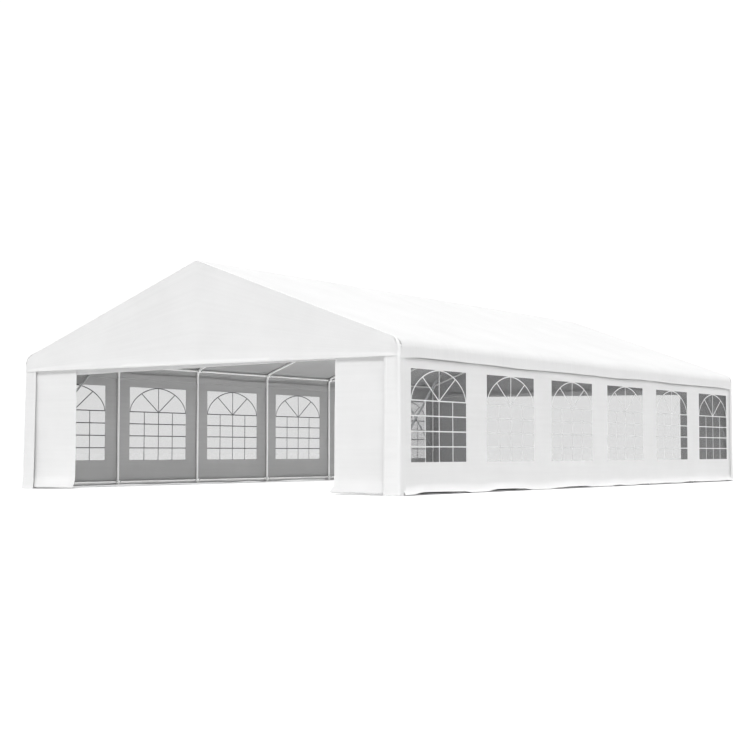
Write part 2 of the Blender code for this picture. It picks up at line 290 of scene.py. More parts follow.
def add_piece(name, bm, finishes, replaces=(), smooth_angle=40):
    """Makes the mesh an object that rides on the tent and stands for the named nodes."""
    mesh = bpy.data.meshes.new(name)
    bm.to_mesh(mesh)
    bm.free()
    for finish in finishes:
        mesh.materials.append(finish)
    mesh.shade_smooth()
    mesh.set_sharp_from_angle(angle=math.radians(smooth_angle))
    piece = new_object(name, mesh)
    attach(piece, "root")
    if replaces:
        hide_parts(*replaces)
    return piece


def join(bm, part):
    """Adds the part's faces to the mesh."""
    mesh = bpy.data.meshes.new("part")
    part.to_mesh(mesh)
    part.free()
    bm.from_mesh(mesh)
    bpy.data.meshes.remove(mesh)


def lines(stops, step):
    """Grid lines through every stop, evenly spaced between them and at most one step apart."""
    found = []
    for low, high in zip(stops, stops[1:]):
        count = max(1, math.ceil((high - low) / step - 1e-6))
        found += [low + (high - low) * i / count for i in range(count)]
    return [*found, stops[-1]]


def runs(*stretches):
    """Grid lines through several stretches end to end, each with its own step."""
    found = []
    for stops, step in stretches:
        found += lines(stops, step)[:-1]
    return [*found, stretches[-1][0][-1]]


def mirrored(half):
    """The lines on both sides of the middle, from those on one side, which begin at 0."""
    return [-s for s in reversed(half)] + half[1:]


def ripple(x, y, z, seed, size):
    """Smooth noise from -1 to 1 whose lumps are about the given size."""
    return noise.noise(Vector((x / size + seed * 7.3, y / size - seed * 3.1, z / size + seed)))


def smooth_step(low, high, value):
    """0 up to low and 1 from high on, eased between them. Low may be the larger one."""
    t = min(1.0, max(0.0, (value - low) / (high - low)))
    return t * t * (3 - 2 * t)


def thicken(bm, outside, thickness):
    """Turns the faces outwards and gives them a thickness, with the second material on the inner
    faces, which on the cloth and the bars is grey painted shade.
    """
    bm.normal_update()
    if sum(f.normal.dot(outside(f.calc_center_median())) for f in bm.faces) < 0:
        bmesh.ops.reverse_faces(bm, faces=bm.faces)
        bm.normal_update()
    doubled = bmesh.ops.solidify(bm, geom=list(bm.faces), thickness=thickness)["geom"]
    for face in doubled:
        if isinstance(face, bmesh.types.BMFace):
            face.material_index = 1


def sheet_mesh(across, up, place, outside, keep=None, thickness=CLOTH_THICK):
    """A sheet on the grid of the two lists of lines, laid out by place and thickened inwards.

    The cut sheet's own metres go into the UV map, so that the weave follows the cloth.
    """
    bm = bmesh.new()
    bmesh.ops.create_grid(bm, x_segments=len(across) - 1, y_segments=len(up) - 1, size=0.5)
    cut = bm.loops.layers.uv.new("cut")
    spots = {}
    for vert in bm.verts:
        column = round((vert.co.x + 0.5) * (len(across) - 1))
        row = round((vert.co.y + 0.5) * (len(up) - 1))
        spots[vert] = (across[column], up[row])
    for face in bm.faces:
        for loop in face.loops:
            loop[cut].uv = spots[loop.vert]
    if keep:
        left_out = []
        for face in bm.faces:
            corners = [spots[v] for v in face.verts]
            if not keep(sum(c[0] for c in corners) / 4, sum(c[1] for c in corners) / 4):
                left_out.append(face)
        bmesh.ops.delete(bm, geom=left_out, context="FACES")
    for vert in bm.verts:
        vert.co = place(*spots[vert])
    thicken(bm, outside, thickness)
    return bm


def bay_share(y):
    """0 at a portal and 1 half way between two of them."""
    for low, high in zip(PORTAL_Y, PORTAL_Y[1:]):
        if low <= y <= high:
            return math.sin(math.pi * (y - low) / (high - low))
    return 0.0


# Roof cover

ROOF_TOP_Z = RAFTER_APEX_Z + COVER_OFF / math.cos(ROOF_PITCH)
RIDGE_R = RIDGE_BEND_R + COVER_OFF
RIDGE_ARC = RIDGE_R * ROOF_PITCH
RIDGE_MID_Z = ROOF_TOP_Z - RIDGE_R / math.cos(ROOF_PITCH)
EAVE_CUT = EAVE_R * math.tan(BEND / 2)
SLOPE_RUN = COVER_X / math.cos(ROOF_PITCH) - RIDGE_R * SLOPE - EAVE_CUT
EAVE_ARC = EAVE_R * BEND
EAVE_MID_X = COVER_X - EAVE_R
EAVE_MID_Z = ROOF_TOP_Z - COVER_X * SLOPE - EAVE_CUT
VALANCE_DROP = EAVE_MID_Z - VALANCE_Z
ROOF_HALF = RIDGE_ARC + SLOPE_RUN + EAVE_ARC + VALANCE_DROP


def roof_line(s):
    """Point and outward direction, X and Z, at s metres from the ridge along the cover."""
    side, t = (1 if s >= 0 else -1), abs(s)
    if t < RIDGE_ARC:
        angle = t / RIDGE_R
        point = (RIDGE_R * math.sin(angle), RIDGE_MID_Z + RIDGE_R * math.cos(angle))
        out = (math.sin(angle), math.cos(angle))
    elif t < RIDGE_ARC + SLOPE_RUN:
        run = t - RIDGE_ARC
        out = (math.sin(ROOF_PITCH), math.cos(ROOF_PITCH))
        point = (RIDGE_R * out[0] + run * out[1], RIDGE_MID_Z + RIDGE_R * out[1] - run * out[0])
    elif t < RIDGE_ARC + SLOPE_RUN + EAVE_ARC:
        angle = ROOF_PITCH + (t - RIDGE_ARC - SLOPE_RUN) / EAVE_R
        out = (math.sin(angle), math.cos(angle))
        point = (EAVE_MID_X + EAVE_R * out[0], EAVE_MID_Z + EAVE_R * out[1])
    else:
        out = (1.0, 0.0)
        point = (COVER_X, EAVE_MID_Z - (t - RIDGE_ARC - SLOPE_RUN - EAVE_ARC))
    return Vector((side * point[0], point[1])), Vector((side * out[0], out[1]))


def edge_radius(share, side):
    """Radius of the curled edge, from the roof's slope at 0 to the end of the eave at 1."""
    corner = EDGE_R if side > 0 else EDGE_LEFT
    return EDGE_TIGHT + (corner - EDGE_TIGHT) * smooth_step(0.1, 0.9, share)


def rounded_end(w, radius):
    """Y and inward drop at w metres along the tent, where both ends of the cover curl over."""
    flat = HALF_LENGTH - EDGE_R
    if abs(w) <= flat:
        moved = (EDGE_R - radius) * smooth_step(flat - 0.15, flat, abs(w))
        return w + math.copysign(moved, w), 0.0
    turn = (abs(w) - flat) / EDGE_R
    y = HALF_LENGTH - radius + radius * math.sin(turn)
    return math.copysign(y, w), radius * (1 - math.cos(turn))


LEG_DROP = VALANCE_Z - HEM_CLEAR
STRIP_Y = HALF_LENGTH - 0.14    # a leg's side strip runs from here to the tent's end
SLIT_Y = HALF_LENGTH - 0.054    # line of the open seam at each corner, and the grid round it
SLIT_LINES = [SLIT_Y - 0.009, SLIT_Y - 0.0005, SLIT_Y + 0.0005, SLIT_Y + 0.007]
SLIT_LOW = 0.005           # the seam's two ends, down from the top of the valance
SLIT_TOP = -0.135
SLIT_HALF = 0.010          # how far it gapes to each side at its middle
SLIT_REACH = 0.03          # and how far the cloth beside it gives way
CORNER_DIP = 0.028         # how far a leg's rounded corner lies behind its front
LEFT_DIP = 0.3             # the left legs' share of it
DIP_GONE = (1.77, 2.02)    # heights between which it dies away
RIGHT_LEAN = 0.15          # shares of the lean that the legs have to the side
LEFT_LEAN = 0.7
LEFT_BOW = 0.004           # added to the left legs
LEFT_KICK = 0.03           # and this at their foot, from KICK_Z down
KICK_Z = 0.12
ROOF_LUMPS = 0.0018        # depth of the cloth's small unevenness
# Height of the valance's edge, by metres from the tent's front
VALANCE_EDGE = [(0.0, 1.817), (2.2, 1.810), (3.2, 1.796), (4.6, 1.806), (5.7, 1.806), (6.6, 1.798),
                (7.75, 1.816), (9.3, 1.804), (10.1, 1.811), (11.2, 1.814), (12.0, 1.808)]


def lean(z):
    """How far a corner leg stands out of the tent's planes at this height."""
    out = LEAN_TOP + (LEAN_FOOT - LEAN_TOP) * max(0.0, 1 - z / EAVE_MID_Z) ** LEAN_POWER
    return out * (1 - smooth_step(*LEAN_GONE, z))


def side_lean(z, side):
    """The same to the side: the left legs bow out, the right ones stand almost upright."""
    if side > 0:
        return RIGHT_LEAN * lean(z)
    out = LEFT_LEAN * lean(z) + LEFT_BOW * (1 - smooth_step(*LEAN_GONE, z))
    return out + LEFT_KICK * smooth_step(KICK_Z, 0.0, z)


def corner_dip(z, side):
    """How far a leg's rounded corner lies back at this height."""
    return CORNER_DIP * (1 if side > 0 else LEFT_DIP) * (1 - smooth_step(*DIP_GONE, z))


def uneven(stops, y, side):
    """A hem's height here, eased between its stops: the left side runs the other way round."""
    along = min(stops[-1][0], max(0.0, HALF_LENGTH + side * y))
    for (low, low_z), (high, high_z) in zip(stops, stops[1:]):
        if low <= along <= high:
            return low_z + (high_z - low_z) * smooth_step(low, high, along)


def roof_place(s, w):
    """The cover over s metres from the ridge and w metres along, with the legs' side strips."""
    side = 1 if s >= 0 else -1
    below = abs(s) - (ROOF_HALF - VALANCE_DROP)
    y, drop = rounded_end(w, edge_radius(1 + below / EAVE_ARC, side))
    point, out = roof_line(s)
    corner = smooth_step(STRIP_Y - 0.45, STRIP_Y, abs(y))
    push = side_lean(point.y, side) * corner - drop
    push += ROOF_LUMPS * ripple(point.x, y, point.y, seed=1, size=0.45) * (1 - corner)
    if below < -EAVE_ARC:
        run = (abs(s) - RIDGE_ARC) / SLOPE_RUN
        # Each slope sags in two panels, above and below its purlin
        panel = 0.3 + 0.7 * abs(math.sin(2 * math.pi * run))
        eased = smooth_step(0, 0.1, run) * smooth_step(1, 0.9, run)
        push -= ROOF_SAG * bay_share(y) * panel * eased
    elif below > 0 and corner < 1:
        share = min(1.0, below / VALANCE_DROP)
        wave = 0.75 + 0.45 * ripple(0, y, 0, seed=11 + side, size=0.45)
        push += VALANCE_SWING * share ** 1.2 * wave * (0.55 + 0.45 * bay_share(y)) * (1 - corner)
        lift = uneven(VALANCE_EDGE, y, side) - VALANCE_Z
        lift += 0.003 * ripple(0, y, 0, seed=5 + side, size=0.25)
        point.y += lift * share * (1 - corner)
    if VALANCE_DROP - HEM_BAND < below < VALANCE_DROP + HEM_STEP:
        push += HEM_PROUD * (1 - corner)
    spot = point + out * push
    forward = lean(spot.y) * smooth_step(STRIP_Y, HALF_LENGTH - 0.02, abs(y))
    forward -= corner_dip(spot.y, side) * smooth_step(STRIP_Y, HALF_LENGTH - EDGE_R, abs(y))
    beside = abs(w) - SLIT_Y
    if SLIT_TOP < below < SLIT_LOW and abs(beside) < SLIT_REACH:
        wide = math.sin(math.pi * (below - SLIT_TOP) / (SLIT_LOW - SLIT_TOP))
        forward += math.copysign(SLIT_HALF * wide * (1 - abs(beside) / SLIT_REACH), beside)
    return Vector((spot.x, y + math.copysign(forward, y), spot.y))


def build_roof():
    """Both slopes in one cloth, with the valances and the side strips of the four legs."""
    arc_end = HALF_LENGTH - EDGE_R
    curl = EDGE_R * math.pi / 2
    bend = ROOF_HALF - VALANCE_DROP
    hem = ROOF_HALF - HEM_BAND
    eave = RIDGE_ARC + SLOPE_RUN
    half = runs(([0, RIDGE_ARC], 0.012), ([RIDGE_ARC, eave - 0.3], 0.11),
                ([eave - 0.3, eave], 0.06), ([eave, bend + SLIT_TOP, bend + SLIT_LOW], 0.010),
                ([bend + SLIT_LOW, hem - 0.0015, hem, ROOF_HALF], 0.02),
                ([ROOF_HALF, ROOF_HALF + LEG_DROP], 0.06))
    near = lines([STRIP_Y, SLIT_LINES[0]], 0.02)[:-1] + SLIT_LINES
    near += lines([arc_end, arc_end + curl], 0.008)
    along = [-y for y in reversed(near)] + lines([-STRIP_Y, STRIP_Y], 0.045)[1:-1] + near

    def keep(s, w):
        if abs(abs(w) - SLIT_Y) < 0.0004 and SLIT_TOP < abs(s) - bend < SLIT_LOW:
            return False
        return abs(s) < ROOF_HALF or abs(w) > STRIP_Y

    bm = sheet_mesh(mirrored(half), along, roof_place, lambda c: Vector((c.x, 0, c.z + 3)), keep)
    roof = add_piece("roof_cover_cloth", bm, CLOTH, ["roof_cover"])


# Gables with the legs' front strips

GABLE_TUCK = 0.0018        # how far the gable lies behind the cover's rounded edge
TUCK_SHARE = 0.8           # the gable ends this share of the edge's radius below the cover
LEG_IN = WALL_X - LEG_FRONT
GABLE_HALF = COVER_X - EDGE_R + 0.008
LEFT_WIDER = TUCK_SHARE * (EDGE_R - EDGE_LEFT)    # under the left legs' sharper corners
DOOR_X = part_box("door_front_right")[0].x
DOOR_OUT_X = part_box("door_front_right")[1].x + DOOR_TUCK
DOOR_TOP_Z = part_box("door_front_right")[1].z
# The hem pocket round each header tube
POCKET_PAD = 0.0035        # how far its outside lies off the tube
POCKET_TOP_Z = GABLE_HEM_Z + 0.030
POCKET_LOW = {-1: 1.773, 1: 1.7475}    # height of its fold at the middle, front and rear
POCKET_SLOPE = 0.0131      # the fold falls this much for each metre towards one post
POCKET_HIGHEST = 1.80
POCKET_DROP = 0.09         # the pocket's usual depth, for the cloth's area
FOLD_R = 0.0025


def gable_top(x):
    """Height at which the gable tucks under the roof's rounded edge."""
    side = 1 if x > 0 else -1
    x = abs(x)
    tight = RIDGE_R - TUCK_SHARE * EDGE_TIGHT
    if x < tight * math.sin(ROOF_PITCH):
        return RIDGE_MID_Z + math.sqrt(tight ** 2 - x ** 2)
    if x < EAVE_MID_X + (EAVE_R - TUCK_SHARE * EDGE_TIGHT) * math.sin(ROOF_PITCH):
        return RIDGE_MID_Z + tight / math.cos(ROOF_PITCH) - x * SLOPE
    # Past the slope the edge's radius grows along the eave, so the place is found by halving
    low, high = 0.0, 1.0
    for _ in range(30):
        share = (low + high) / 2
        reach = EAVE_R - TUCK_SHARE * edge_radius(share, side)
        angle = ROOF_PITCH + BEND * share
        if reach * math.sin(angle) < x - EAVE_MID_X:
            low = share
        else:
            high = share
    return EAVE_MID_Z + reach * math.cos(angle)


def gable_place(end):
    def place(x, v):
        """The gable at x and at v metres over its hem, with a leg's front strip at each side."""
        side = 1 if x > 0 else -1
        leg = (abs(x) - LEG_IN) / (GABLE_HALF - LEG_IN)
        aside = smooth_step(LEG_IN - 0.1, GABLE_HALF, abs(x))
        if side < 0:
            x -= LEFT_WIDER * smooth_step(0, 1, leg)
        if v <= 0:
            z = GABLE_HEM_Z + v
        else:
            z = GABLE_HEM_Z + (gable_top(x) - GABLE_HEM_Z) * v / (gable_top(0) - GABLE_HEM_Z)
        out = lean(z) * smooth_step(LEAN_FROM_X, LEG_IN, abs(x))
        out -= corner_dip(z, side) * max(0.0, leg) ** 2
        rim = smooth_step(0, 0.15, gable_top(x) - z) * smooth_step(GABLE_HEM_Z, 1.9, z)
        out += rim * (0.004 * ripple(x, end * 3, z, seed=21, size=0.8)
                      + 0.001 * ripple(x, end, z, seed=22, size=0.2))
        if 0 <= v < HEM_BAND + HEM_STEP or v < 0 and abs(x) < LEG_IN + HEM_BAND - 0.0005:
            out += HEM_PROUD
        if v >= 0:
            # The hem stands off a little, as the pocket behind it is full
            out += 0.007 * smooth_step(1.0, 0.6, leg) * smooth_step(0.25, 0.03, v)
        x += side * side_lean(z, side) * aside
        return Vector((x, end * (HALF_LENGTH - GABLE_TUCK + out), z))
    return place


def build_gable(side, end):
    """A gable with the front strips of its two legs and the pocket of its hem."""
    height = gable_top(0) - GABLE_HEM_Z
    half = lines([0, DOOR_X, LEG_IN, LEG_IN + HEM_BAND - HEM_STEP, LEG_IN + HEM_BAND, GABLE_HALF],
                 0.06)
    up = lines([HEM_CLEAR - GABLE_HEM_Z, -0.002, 0, HEM_BAND, HEM_BAND + 0.002, height], 0.05)

    def keep(u, v):
        return v > -0.0015 or abs(u) > LEG_IN

    bm = sheet_mesh(mirrored(half), up, gable_place(end), lambda c: Vector((0, end, 0)), keep)
    stood = [f"{side}_gable", f"leg_{side}_left", f"leg_{side}_right"]
    gable = add_piece(f"{side}_gable_cloth", bm, CLOTH, stood)
    pocket, pocket_area = build_hem_pocket(side, end)


def build_hem_pocket(side, end):
    """The gable's lower hem, folded round the header tube and deeper towards one post."""
    front_y = HEADER_Y + HEADER_R + POCKET_PAD
    inner_y = front_y - 2 * FOLD_R
    rear_y = HEADER_Y - HEADER_R - POCKET_PAD

    def place(x, t):
        """Down the front as t goes to 1, round the fold to 2, and up behind the tube to 3."""
        low = POCKET_LOW[end] - end * POCKET_SLOPE * x
        low = min(POCKET_HIGHEST, low + 0.002 * ripple(x, end, 0, seed=31, size=0.6))
        foot = low + FOLD_R
        if t <= 1:
            return Vector((x, end * front_y, POCKET_TOP_Z + (foot - POCKET_TOP_Z) * t))
        if t <= 2:
            angle = math.pi * (t - 1)
            return Vector((x, end * (front_y - FOLD_R + FOLD_R * math.cos(angle)),
                           foot - FOLD_R * math.sin(angle)))
        rise = t - 2
        back = min(1.0, rise / 0.5)
        turn = max(foot + 0.001, HEADER_Z - HEADER_R - 0.003)
        if rise <= 0.5:
            z = foot + (turn - foot) * back
        else:
            z = turn + (POCKET_TOP_Z - turn) * (2 * rise - 1)
        return Vector((x, end * (inner_y + (rear_y - inner_y) * back), z))

    def outside(spot):
        return Vector((0, spot.y - end * HEADER_Y, spot.z - POCKET_TOP_Z))

    reach = POST_X - SOCKET_R
    up = [0, 0.5, 0.9, 1, 1.25, 1.5, 1.75, 2, 2.25, 2.5, 2.75, 3]
    bm = sheet_mesh(lines([-reach, reach], 0.08), up, place, outside)
    # The part of the pocket behind the tube takes the grey painted inside shade on both faces
    for face, height in cut_heights(bm):
        if height > 1.9:
            face.material_index = 1
    pocket = add_piece(f"{side}_hem_pocket", bm, CLOTH)
    return pocket, 2 * reach * (2 * POCKET_DROP + math.pi * FOLD_R)


# Door panels

def build_door(side_name, side, end_name, end):
    """A panel that hangs from the header, with soft upright folds and a spread foot."""
    seed = 41 + 3 * side + end
    # The front right panel and the rear left one are narrower and splay out more at the foot
    shift, splay = (0.023, 0.075) if side * end < 0 else (-0.02, -0.035)
    edge = DOOR_X + shift

    def place(u, z):
        free = 1 - (u - edge) / (DOOR_OUT_X - edge)
        hang = smooth_step(DOOR_TOP_Z, DOOR_TOP_Z - 0.5, z)
        fold = DOOR_FOLD * ripple(u, 0, z * 0.2, seed, size=0.15) * (0.35 + 0.65 * free) * hang
        back = max(0.0, DOOR_HEM_Z - z)
        z = max(z, DOOR_HEM_Z)
        foot = smooth_step(*DOOR_FOOT, z)
        flare = foot ** 1.5 * (DOOR_FLARE + 0.012 * ripple(u, 0, 0, seed + 1, size=0.22))
        lift = foot * (DOOR_LIFT + 0.008 * ripple(u, 0, 0, seed + 2, size=0.25))
        lift *= max(0.0, 1 - back / DOOR_RETURN)
        kick = 0.25 * (1 - z / DOOR_TOP_Z) + 0.75 * smooth_step(0.13, 0.02, z)
        spread = -splay * free ** 2 * kick
        doubled = u < edge + HEM_BAND - 0.0005 or z < DOOR_HEM_Z + HEM_BAND
        # High up the panel goes along with the leg in front of it
        follow = 0.7 * lean(z) * smooth_step(LEAN_FROM_X, LEG_IN, u) * smooth_step(1.45, 1.75, z)
        out = fold + flare + (HEM_PROUD if doubled else 0.0) + follow - DOOR_SET - back
        return Vector((side * (u + spread), end * (HALF_LENGTH + out), z + lift))

    across = lines([edge, edge + HEM_BAND - HEM_STEP, edge + HEM_BAND, DOOR_OUT_X], 0.025)
    band = DOOR_HEM_Z + HEM_BAND
    up = runs(([DOOR_HEM_Z - DOOR_RETURN, DOOR_HEM_Z], 0.02),
              ([DOOR_HEM_Z, band - HEM_STEP, band, 0.25, DOOR_TOP_Z], 0.035))
    bm = sheet_mesh(across, up, place, lambda c: Vector((0, end, 0)))
    name = f"door_{end_name}_{side_name}"
    door = add_piece(f"{name}_cloth", bm, CLOTH, [name])


# Side walls, films and printed bars

WALL_WAVE = 0.005          # depth of the loose cloth's long waves and short puckers
WALL_PUCKER = 0.0015
WALL_RECESS = 0.020        # how far a wall falls back behind the valance between two posts
RECESS_Z = (1.7875, 1.7915)    # heights between which it does so
VALANCE_USUAL_Z = 1.80     # the wall's top goes up and down with the valance's edge from here
FOLLOW_Z = (1.70, 1.775)   # it begins to at the first height and does so fully at the second
WELD = 0.028               # a band of faces this wide runs round each window
FILM_CLEAR = 0.0007        # gap between the cloth's inner side and the film's outside
FILM_SLACK = 0.006
# How high the skirt's hem lifts off the ground, by metres from the tent's front
SKIRT_EDGE = [(0.0, 0.003), (0.2, 0.008), (0.55, 0.035), (1.0, 0.032), (1.55, 0.024),
              (1.85, 0.004), (2.15, 0.007), (2.55, 0.037), (2.95, 0.035), (3.3, 0.026),
              (3.6, 0.005), (4.05, 0.003), (4.4, 0.019), (4.85, 0.027), (5.3, 0.027),
              (5.7, 0.010), (6.1, 0.004), (6.6, 0.022), (7.05, 0.006), (7.6, 0.019),
              (8.1, 0.015), (8.6, 0.019), (9.15, 0.013), (9.75, 0.026), (10.3, 0.017),
              (11.0, 0.014), (11.6, 0.018), (12.0, 0.006)]
# The printed bars
ARCH_SPRING = 0.662        # where the arch springs, as a share of the window's height
ARCH_RISE = 0.335          # and how far it rises
ARCH_POWER = 1.8           # a little more pointed than an ellipse, whose power is 2
SPOKE_TIP = 0.60           # where a spoke meets the arch, as a share of its half width
BAR_OVERRUN = 0.012        # a bar may run on this far behind the cloth
BAR_CLEAR = 0.0001
BAR_LAYER = 0.00008        # bars that cross lie this far apart


def windows(side_name):
    """Low and high Y, then Z, of each opening, from the films that close them."""
    found = []
    for number in range(1, 7):
        low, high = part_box(f"window_{side_name}_{number}")
        found.append((low.y + WINDOW_LAP, high.y - WINDOW_LAP,
                      low.z + WINDOW_LAP, high.z - WINDOW_LAP))
    return found


def wall_place(side):
    def place(y, z):
        """Taut at the posts and loose between them, with the skirt turned out at the ground."""
        loose = bay_share(y)
        top = smooth_step(WALL_TOP_Z, WALL_TOP_Z - 0.3, z)
        push = WALL_WAVE * loose * ripple(side, y, z, seed=51, size=0.8) * top
        push += WALL_PUCKER * loose * ripple(side, y, z, seed=52, size=0.2) * top
        post = min(abs(y - p) for p in PORTAL_Y)
        push += 0.0014 * math.exp(-(post / 0.03) ** 2)
        push = max(push, -0.0015)
        push -= (0.004 + WALL_RECESS * loose ** 0.5) * smooth_step(*RECESS_Z, z)
        z += (uneven(VALANCE_EDGE, y, side) - VALANCE_USUAL_Z) * smooth_step(*FOLLOW_Z, z)
        back = max(0.0, HEM_CLEAR - z)
        z = max(z, HEM_CLEAR)
        turned = max(0.0, 1 - (z - HEM_CLEAR) / (SKIRT_TOP_Z - HEM_CLEAR))
        wave = 0.85 + 0.2 * ripple(side, y, 0, seed=53, size=0.35)
        push += SKIRT_FLARE * turned ** 2 * wave
        z += uneven(SKIRT_EDGE, y, side) * smooth_step(0.3, 0.0, z)
        z = HEM_CLEAR + (z - HEM_CLEAR) * smooth_step(1.0, 0.75, back / SKIRT_RETURN)
        return Vector((side * (WALL_X - WALL_SET + push - back), y, z))
    return place


def build_wall(side_name, side):
    """A side wall with its six openings, and then the films and bars that close them."""
    openings = windows(side_name)
    reach = STRIP_Y + 0.05
    stops = [-reach, reach]
    for low_y, high_y, _, _ in openings:
        stops += [low_y - WELD, low_y, high_y, high_y + WELD]
    sill, head = openings[0][2:]
    across = lines(sorted(stops), 0.045)
    up = runs(([HEM_CLEAR - SKIRT_RETURN, HEM_CLEAR, SKIRT_TOP_Z], 0.014),
              ([SKIRT_TOP_Z, sill - WELD, sill, head, head + WELD, FOLLOW_Z[1], *RECESS_Z,
                VALANCE_USUAL_Z, WALL_TOP_Z], 0.045))

    def keep(y, z):
        return not any(a < y < b and c < z < d for a, b, c, d in openings)

    bm = sheet_mesh(across, up, wall_place(side), lambda c: Vector((side, 0, 0)), keep)
    # The skirt's lower inner face is coated white like the outside, without the painted inside
    # shade, which lightens the shade line under the base rail; the underside of its folded end gets
    # the grey painted shade, which darkens the gap under the skirt
    for face, height in cut_heights(bm):
        if height < HEM_CLEAR - 0.02:
            face.material_index = 0 if face.normal.z > 0 else 1
        elif height < 0.05:
            face.material_index = 0
    name = f"{side_name}_wall"
    wall = add_piece(f"{name}_cloth", bm, CLOTH, [name])
    width, height = 2 * reach, WALL_TOP_Z - HEM_CLEAR + SKIRT_RETURN
    for number, opening in enumerate(openings, 1):
        build_window(side_name, side, number, opening)


def film_push(side, y, z, opening):
    """The film hangs a little slack, deepest in its middle."""
    low_y, high_y, low_z, high_z = opening
    share = (y - low_y) / (high_y - low_y) * (high_y - y) / (high_y - low_y)
    share *= (z - low_z) / (high_z - low_z) * (high_z - z) / (high_z - low_z)
    slack = 0.6 + 0.4 * ripple(side, y, z, seed=61, size=0.5)
    return -FILM_SLACK * max(0.0, 16 * share) * slack


def build_window(side_name, side, number, opening):
    """A window's film and the bars printed on its outside."""
    low_y, high_y, low_z, high_z = opening
    node_name = f"window_{side_name}_{number}"
    film_x = WALL_X - WALL_SET - CLOTH_THICK - FILM_CLEAR

    def place(y, z):
        return Vector((side * (film_x + film_push(side, y, z, opening)), y, z))

    across = lines([low_y - FILM_TUCK, high_y + FILM_TUCK], 0.07)
    up = lines([low_z - FILM_TUCK, high_z + FILM_TUCK], 0.07)
    bm = sheet_mesh(across, up, place, lambda c: Vector((side, 0, 0)), thickness=FILM_THICK)
    film = add_piece(f"{node_name}_film", bm, [FILM_FINISH], [node_name])
    bars = build_bars(f"{node_name}_bars", side, opening, film_x)


def flat_strip(bm, points, width):
    """A flat band of the given width along points in the window's own plane."""
    pairs = []
    for i, here in enumerate(points):
        back = points[max(0, i - 1)]
        ahead = points[min(len(points) - 1, i + 1)]
        along = (ahead - back).normalized()
        off = Vector((-along.y, along.x)) * width / 2
        pairs.append((bm.verts.new((*(here + off), 0)), bm.verts.new((*(here - off), 0))))
    for (a, b), (c, d) in zip(pairs, pairs[1:]):
        bm.faces.new((a, b, d, c))


def bar_lines(width, height):
    """The bars' middle lines from the opening's lower front corner, each with its layer."""
    spring = ARCH_SPRING * height
    half = width / 2
    found = []
    for row in range(1, 5):
        level = spring * row / 4
        found.append(([Vector((width * i / 12, level)) for i in range(13)], 0))
    for column in (1, 2, 3):
        top = height if column == 2 else spring
        found.append(([Vector((width * column / 4, top * i / 10)) for i in range(11)], 1))
    reach, rise = half - BAR_WIDTH / 2, ARCH_RISE * height
    arch = []
    for i in range(41):
        across, up = math.cos(math.pi * i / 40), math.sin(math.pi * i / 40)
        across = math.copysign(abs(across) ** (2 / ARCH_POWER), across)
        arch.append(Vector((half - reach * across, spring + rise * up ** (2 / ARCH_POWER))))
    found.append((arch, 2))
    hub = Vector((half, spring))
    level = (1 - SPOKE_TIP ** ARCH_POWER) ** (1 / ARCH_POWER)
    for tilt in (-1, 1):
        tip = Vector((half + tilt * reach * SPOKE_TIP, spring + rise * level))
        found.append(([hub.lerp(tip, i / 6) for i in range(7)], 1))
    return found


def build_bars(name, side, opening, film_x):
    """Four rows of four panes, and above them an arch with a centre bar and two spokes."""
    low_y, high_y, low_z, high_z = opening
    bm = bmesh.new()
    for points, layer in bar_lines(high_y - low_y, high_z - low_z):
        strip = bmesh.new()
        flat_strip(strip, points, BAR_WIDTH)
        for vert in strip.verts:
            y = min(max(low_y + vert.co.x, low_y - BAR_OVERRUN), high_y + BAR_OVERRUN)
            z = min(max(low_z + vert.co.y, low_z - BAR_OVERRUN), high_z + BAR_OVERRUN)
            x = film_x + BAR_CLEAR + layer * BAR_LAYER + BAR_THICK + film_push(side, y, z, opening)
            vert.co = Vector((side * x, y, z))
        thicken(strip, lambda c: Vector((side, 0, 0)), BAR_THICK)
        join(bm, strip)
    return add_piece(name, bm, BAR_FINISH)


# Tubes

def add_tube(name, bm, finish=TUBE_FINISH):
    """Makes the mesh the piece that stands for the named tube."""
    add_piece(f"{name}_tube", bm, [finish], [name])


def tube(bm, start, end, radius, sides=TUBE_SIDES):
    """Adds a straight, closed rod to the mesh and gives the mesh back."""
    start, end = Vector(start), Vector(end)
    turn = (end - start).to_track_quat("Z", "X").to_matrix().to_4x4()
    place = Matrix.Translation((start + end) / 2) @ turn
    bmesh.ops.create_cone(bm, cap_ends=True, segments=sides, radius1=radius, radius2=radius,
                          depth=(end - start).length, matrix=place)
    return bm


def rail_centre(name):
    """X and Z of a tube that runs the tent's length."""
    low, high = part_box(name)
    return (low.x + high.x) / 2, (low.z + high.z) / 2


def build_rails():
    """The tubes that run the whole length, and the two headers across the ends."""
    for name in RAILS:
        low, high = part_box(name)
        x, z = rail_centre(name)
        add_tube(name, tube(bmesh.new(), (x, low.y, z), (x, high.y, z), RAIL_R))
    for name in ("front_header", "rear_header"):
        low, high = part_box(name)
        y, z = ((low + high) / 2).yz
        add_tube(name, tube(bmesh.new(), (low.x, y, z), (high.x, y, z), HEADER_R))


